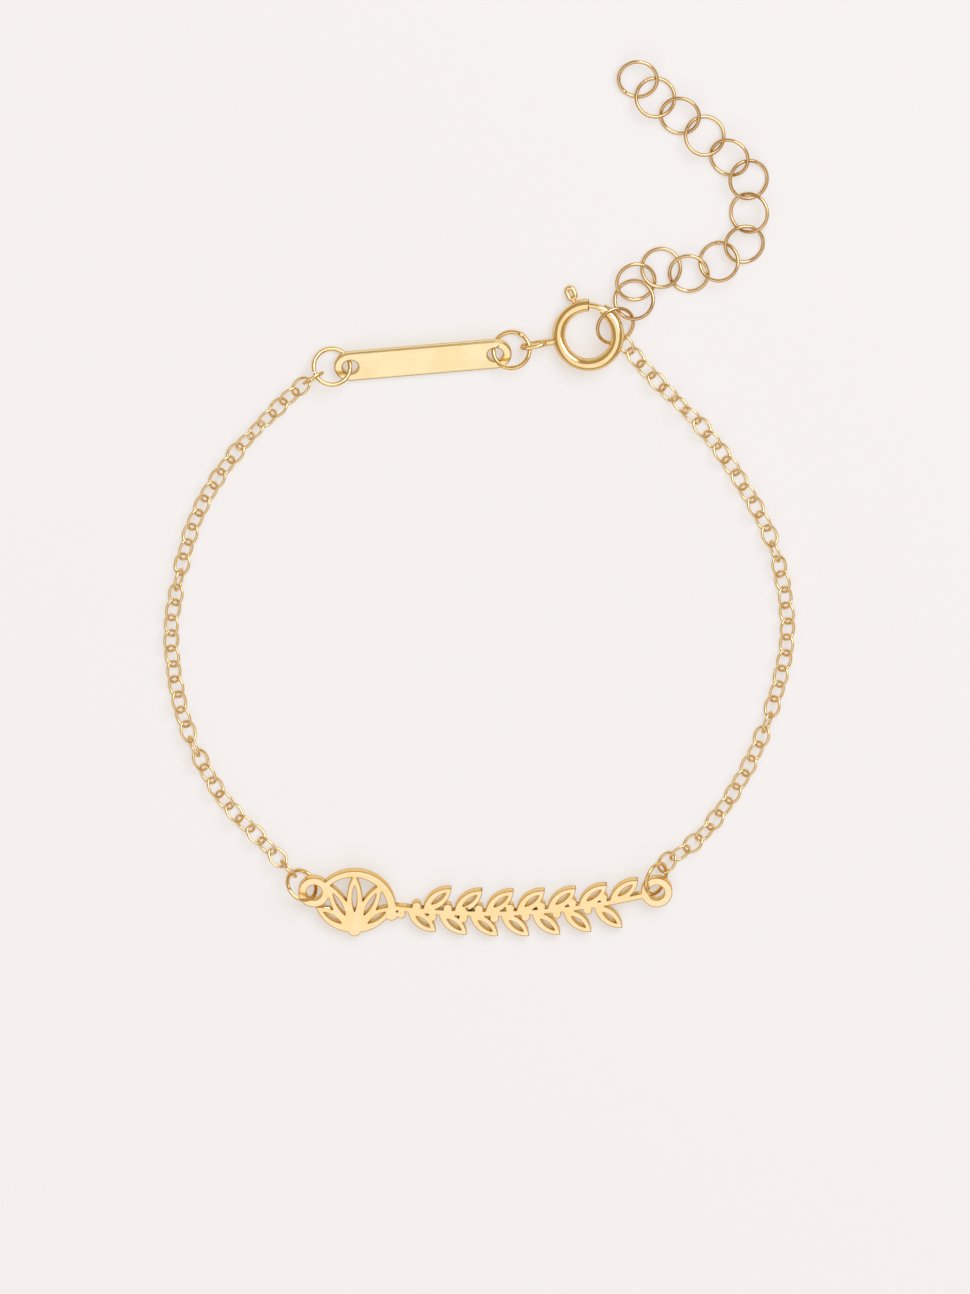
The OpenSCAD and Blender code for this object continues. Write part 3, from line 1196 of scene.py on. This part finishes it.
@dataclass(frozen=True)
class Plate:
    """The sizes of the pierced plate that the rings through its eyelets depend on.

    Attributes:
        length: Its length over both eyelets.
        height: Its height.
        eyelet: The diameter of an eyelet over its rim.
        eyelet_at: The eyelets' height in shares of the plate's.
        lean: Its lean.
        middle: The shares of its middle's place.
    """

    length: float = 31.2
    height: float = 5.8
    eyelet: float = 2.6
    eyelet_at: float = 0.67
    lean: float = 7.0
    middle: Pair = (0.0175, -0.7113)

    def hole(self, loop: Loop, side: int) -> Vector:
        """Returns the place of the left eyelet for -1 or of the right one for 1."""
        rise = (self.eyelet_at - 0.5) * self.height * cos(radians(self.lean))
        return loop.place(*self.middle) + Vector((side * (self.length - self.eyelet) / 2, rise))


@dataclass(frozen=True)
class Tag:
    """The sizes of the tag that the rings through its holes depend on.

    Attributes:
        length: Its length.
        width: Its width.
        heading: Its heading from the left hole to the right one.
        edge: The width that polishing broke its edges to.
        middle: The shares of its middle's place.
    """

    length: float = 14.8
    width: float = 2.7
    heading: float = 5.0
    edge: float = 0.07
    middle: Pair = (-0.1848, 0.2433)

    def hole(self, loop: Loop, side: int) -> Vector:
        """Returns the place of the left hole for -1 or of the right one for 1."""
        reach = side * (self.length - self.width) / 2
        return loop.place(*self.middle) + reach * heading_vector(self.heading).xy


@dataclass(frozen=True)
class RingLay:
    """How a jump ring lies beside its hole.

    Attributes:
        across: Its centre's place across from the hole, in shares of its radius.
        along: Its centre's place along from the hole, in shares of its radius.
        tilt: Its tilt.
        turn: The heading of the line it tilts about.
        join: How the ends of its wire meet.
        join_at: The heading of the join.
    """

    across: float
    along: float
    tilt: float
    turn: float
    join: Join
    join_at: float

    def ring(self, node: str, stock: RingStock, hole: Vector) -> RoundRing:
        """Returns the ring of a stock size that lies beside a hole."""
        seat = Seat(
            hole.x + self.across * stock.radius, hole.y + self.along * stock.radius,
            self.tilt, self.turn,
        )
        return RoundRing(node, stock, seat, self.join, self.join_at)


JUMP = RingStock(3.4, 0.36)
PLATE_JUMP = RingStock(3.0, 0.32)
EXTENDER = RingStock(3.5, 0.3)


@dataclass
class Bracelet:
    """All the pieces of the bracelet.

    Attributes:
        loop: The loop that its places are shares of.
        plate: The pierced plate.
        tag: The tag.
        lays: How the jump rings of the tag and of the plate lie, each time the left one first.
        eye_lay: The clasp's eye from the middle of its ring, in shares of the radius.
        hold_at: Where round the clasp the extender's last ring is held.
        extender: The extender's rings from the free end: centre from the held place and
            height off the surface in shares of the diameter, tilt and turn.
        seams: The extender rings whose soldered join shows, and its heading.
        routes: Each chain's route in shares of the loop, by its side.
        hooks: Each chain's end links, by its side.
    """

    loop: Loop = Loop()
    plate: Plate = Plate()
    tag: Tag = Tag()
    lays: dict[str, RingLay] = field(default_factory=lambda: {
        "tag_ring": RingLay(-1.01, -0.03, 23, -8, Join.OPEN, 197),
        "clasp_link_ring": RingLay(0.88, 0.205, 21.5, 20, Join.SOLDERED, 60),
        "plate_ring_left": RingLay(-0.77, 0.385, 46.5, -41, Join.SOLDERED, 200),
        "plate_ring_right": RingLay(-0.04, 0.81, 52.5, -103, Join.SOLDERED, 20),
    })
    eye_lay: Pair = (1.243, 0.264)
    hold_at: float = 19.5
    extender: tuple[tuple[float, ...], ...] = (
        (0.510, 5.931, 14, 170, 0), (0.924, 5.488, 14, -25, 0), (1.510, 5.045, 14.5, 152, 0),
        (2.096, 4.560, 14, -29.5, 0), (2.681, 4.045, 20.5, 131, 0), (3.139, 3.503, 15.5, -92, 0),
        (3.153, 2.703, 20.5, 74, 0), (3.039, 1.931, 15, -133, 0), (2.439, 1.517, 21.5, 27.5, 0),
        (1.724, 1.217, 12.5, 161.5, 0), (1.067, 1.345, 9, 3, 0), (0.467, 1.017, 14.5, -138, 0),
        (0.424, 0.588, 18.5, 21, 0), (-0.019, -0.012, 27, -124, 0.077),
    )
    seams: dict[int, float] = field(default_factory=lambda: {1: 225.0, 9: 95.0, 10: 215.0})
    routes: dict[str, tuple[Pair, ...]] = field(default_factory=lambda: {
        "left": (
            (-0.611, 0.181), (-0.790, 0.080), (-0.918, -0.033), (-0.984, -0.165),
            (-1.000, -0.264), (-0.957, -0.396), (-0.844, -0.522), (-0.712, -0.602),
        ),
        "right": (
            (0.560, 0.212), (0.716, 0.126), (0.844, 0.029), (0.949, -0.082),
            (0.996, -0.214), (0.969, -0.328), (0.879, -0.464), (0.739, -0.584),
        ),
    })
    hooks: dict[str, tuple[Hook, Hook]] = field(default_factory=lambda: {
        "left": (Hook(210.5, 0.163, -0.096, -73), Hook(130.0, 0.193, -0.091, 72)),
        "right": (Hook(-63.5, 0.242, 0.029, 36), Hook(54.0, 0.173, -0.052, 27)),
    })

    def jump_rings(self) -> dict[str, RoundRing]:
        """Lays the four jump rings beside their holes.

        Returns:
            The rings by their nodes' names.
        """
        spots = [
            (stock, sheet.hole(self.loop, side))
            for stock, sheet in ((JUMP, self.tag), (PLATE_JUMP, self.plate))
            for side in (-1, 1)
        ]
        return {
            node: lay.ring(node, stock, hole)
            for (node, lay), (stock, hole) in zip(self.lays.items(), spots)
        }

    def clasp(self) -> SpringRing:
        """Places the clasp so that its eye hangs in its jump ring.

        Returns:
            The clasp.
        """
        seat = self.jump_rings()["clasp_link_ring"].seat
        eye = Vector((seat.x, seat.y)) + JUMP.radius * Vector(self.eye_lay)
        loose = SpringRing(0.0, 0.0)
        middle = eye - loose.plan_of(loose.eye_reach(), loose.eye_at)
        return SpringRing(middle.x, middle.y)

    def extender_rings(self) -> list[RoundRing]:
        """Lays the extender's rings out from the clasp.

        Returns:
            The rings, from the free end.
        """
        clasp = self.clasp()
        held = Vector((clasp.x, clasp.y)) + clasp.plan_of(clasp.radius, self.hold_at)
        rings = []
        for i, (across, along, tilt, turn, off) in enumerate(self.extender, start=1):
            place = held + EXTENDER.outer * Vector((across, along))
            seat = Seat(place.x, place.y, tilt, turn, EXTENDER.outer * off)
            join = Join.SOLDERED if i in self.seams else Join.CLOSED
            at = self.seams.get(i, 0.0)
            rings.append(RoundRing(f"extender_ring_{i}", EXTENDER, seat, join, at))
        return rings

    def chains(self) -> list[CableChain]:
        """Strings the two chains between their rings.

        Returns:
            The left and the right chain.
        """
        jumps = self.jump_rings()
        starts = {"left": jumps["tag_ring"], "right": self.extender_rings()[-1]}
        return [
            CableChain(
                f"chain_{side}", tuple(self.loop.place(*share) for share in self.routes[side]),
                (start, jumps[f"plate_ring_{side}"]), self.hooks[side],
            )
            for side, start in starts.items()
        ]

    def build(self) -> None:
        """Builds and dresses every piece."""
        for finish, slot, parts in (
            (PLATE_GOLD, "plate_gold", (FlatPiece("nameplate"),)),
            (TAG_GOLD, "plate_gold", (FlatPiece("tag", self.tag.edge),)),
            (JUMP_GOLD, "wire_gold", self.jump_rings().values()),
            (EXTENDER_GOLD, "wire_gold", self.extender_rings()),
            (WIRE_GOLD, "wire_gold", self.chains()),
        ):
            gold = finish.material()
            for part in parts:
                dress(part.build(), gold, BRACELET, slot, part.node)
        clasp, gold = self.clasp(), CLASP_GOLD.material()
        for piece, body, node in (
            (clasp.body(), BRACELET, "clasp_body"), (clasp.thumb_bolt(), BOLT, "clasp_bolt"),
        ):
            dress(piece, gold, body, "clasp_gold", node)


# The studio


@dataclass(frozen=True)
class Softbox:
    """A large soft light that looks at the bracelet.

    Attributes:
        name: Its name.
        place: Where it stands, in metres.
        size: Its width and height, in metres.
        power: Its power in watts.
        colour: Its colour.
    """

    name: str
    place: Point
    size: Pair
    power: float
    colour: Point = (0.9, 1.0, 1.3)

    def build(self, target: Vector) -> None:
        """Sets up the light.

        Args:
            target: The point that it is turned to.
        """
        light = bpy.data.lights.new(self.name, "AREA")
        light.shape = "RECTANGLE"
        light.size, light.size_y = self.size
        light.energy = self.power
        light.color = self.colour
        stand = bpy.data.objects.new(self.name, light)
        bpy.context.scene.collection.objects.link(stand)
        stand.location = self.place
        stand.rotation_euler = (target - stand.location).to_track_quat("-Z", "Y").to_euler()


@dataclass(frozen=True)
class Studio:
    """The pale surface, the soft lights and the camera.

    Attributes:
        target: The point at the middle of the picture.
        frame_height: How much the picture takes in from bottom to top.
        distance: The camera's distance, in metres.
        tip: How far the camera leans over from straight above.
        room: The brightness of the room round the bracelet.
        room_colour: The colour of the room's light.
        surface: The width of the pale surface, in metres.
        drop: How far the surface is under the lowest link.
        boxes: The softboxes.
    """

    target: Point = (0.487, -12.66, 0.5)
    frame_height: float = 107.83
    distance: float = 2.5
    tip: float = 13.0
    room: float = 0.45
    room_colour: Point = (1.0, 0.78, 0.49)
    surface: float = 3.0
    drop: float = 0.01
    boxes: tuple[Softbox, ...] = (
        Softbox("overhead_box", (-0.08, -0.33, 0.85), (1.1, 1.35), 3.25),
        Softbox("key_box", (0.35, 0.5, 0.72), (0.75, 0.6), 4.2),
    )

    def build(self) -> None:
        """Sets up the surface, the room's light, the softboxes and the camera."""
        self._surface()
        self._room()
        for box in self.boxes:
            box.build(Vector(self.target) * MM)
        self._camera()

    def _surface(self) -> None:
        """Lays the pale surface just under the lowest link."""
        bpy.ops.mesh.primitive_plane_add(size=self.surface, location=(0, 0, -self.drop * MM))
        surface = name_new("surface")
        settle(surface)
        surface.data.materials.append(PaleSurface().material())

    def _room(self) -> None:
        """Lights the room evenly."""
        room = bpy.data.worlds.new("room")
        bpy.context.scene.world = room
        room.use_nodes = True
        light = room.node_tree.nodes["Background"]
        light.inputs["Color"].default_value = (*self.room_colour, 1)
        light.inputs["Strength"].default_value = self.room

    def _camera(self) -> None:
        """Sets the camera over the bracelet at the picture's angle."""
        lens = bpy.data.cameras.new("camera")
        lens.sensor_fit = "VERTICAL"
        lens.sensor_height = lens.sensor_width
        lens.lens = lens.sensor_height * self.distance / (self.frame_height * MM)
        lens.clip_start = 0.01
        camera = bpy.data.objects.new("camera", lens)
        bpy.context.scene.collection.objects.link(camera)
        tip = radians(self.tip)
        away = Vector((0, sin(tip), cos(tip))) * self.distance
        camera.location = Vector(self.target) * MM + away
        camera.rotation_euler = (-tip, 0, 0)
        bpy.context.scene.camera = camera


def main() -> None:
    """Builds the bracelet and its studio, and sets the view transform."""
    logging.basicConfig(level=logging.INFO, format="%(name)s: %(message)s")
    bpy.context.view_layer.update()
    Bracelet().build()
    Studio().build()
    bpy.context.scene.view_settings.view_transform = "Standard"


if __name__ == "__main__":
    main()
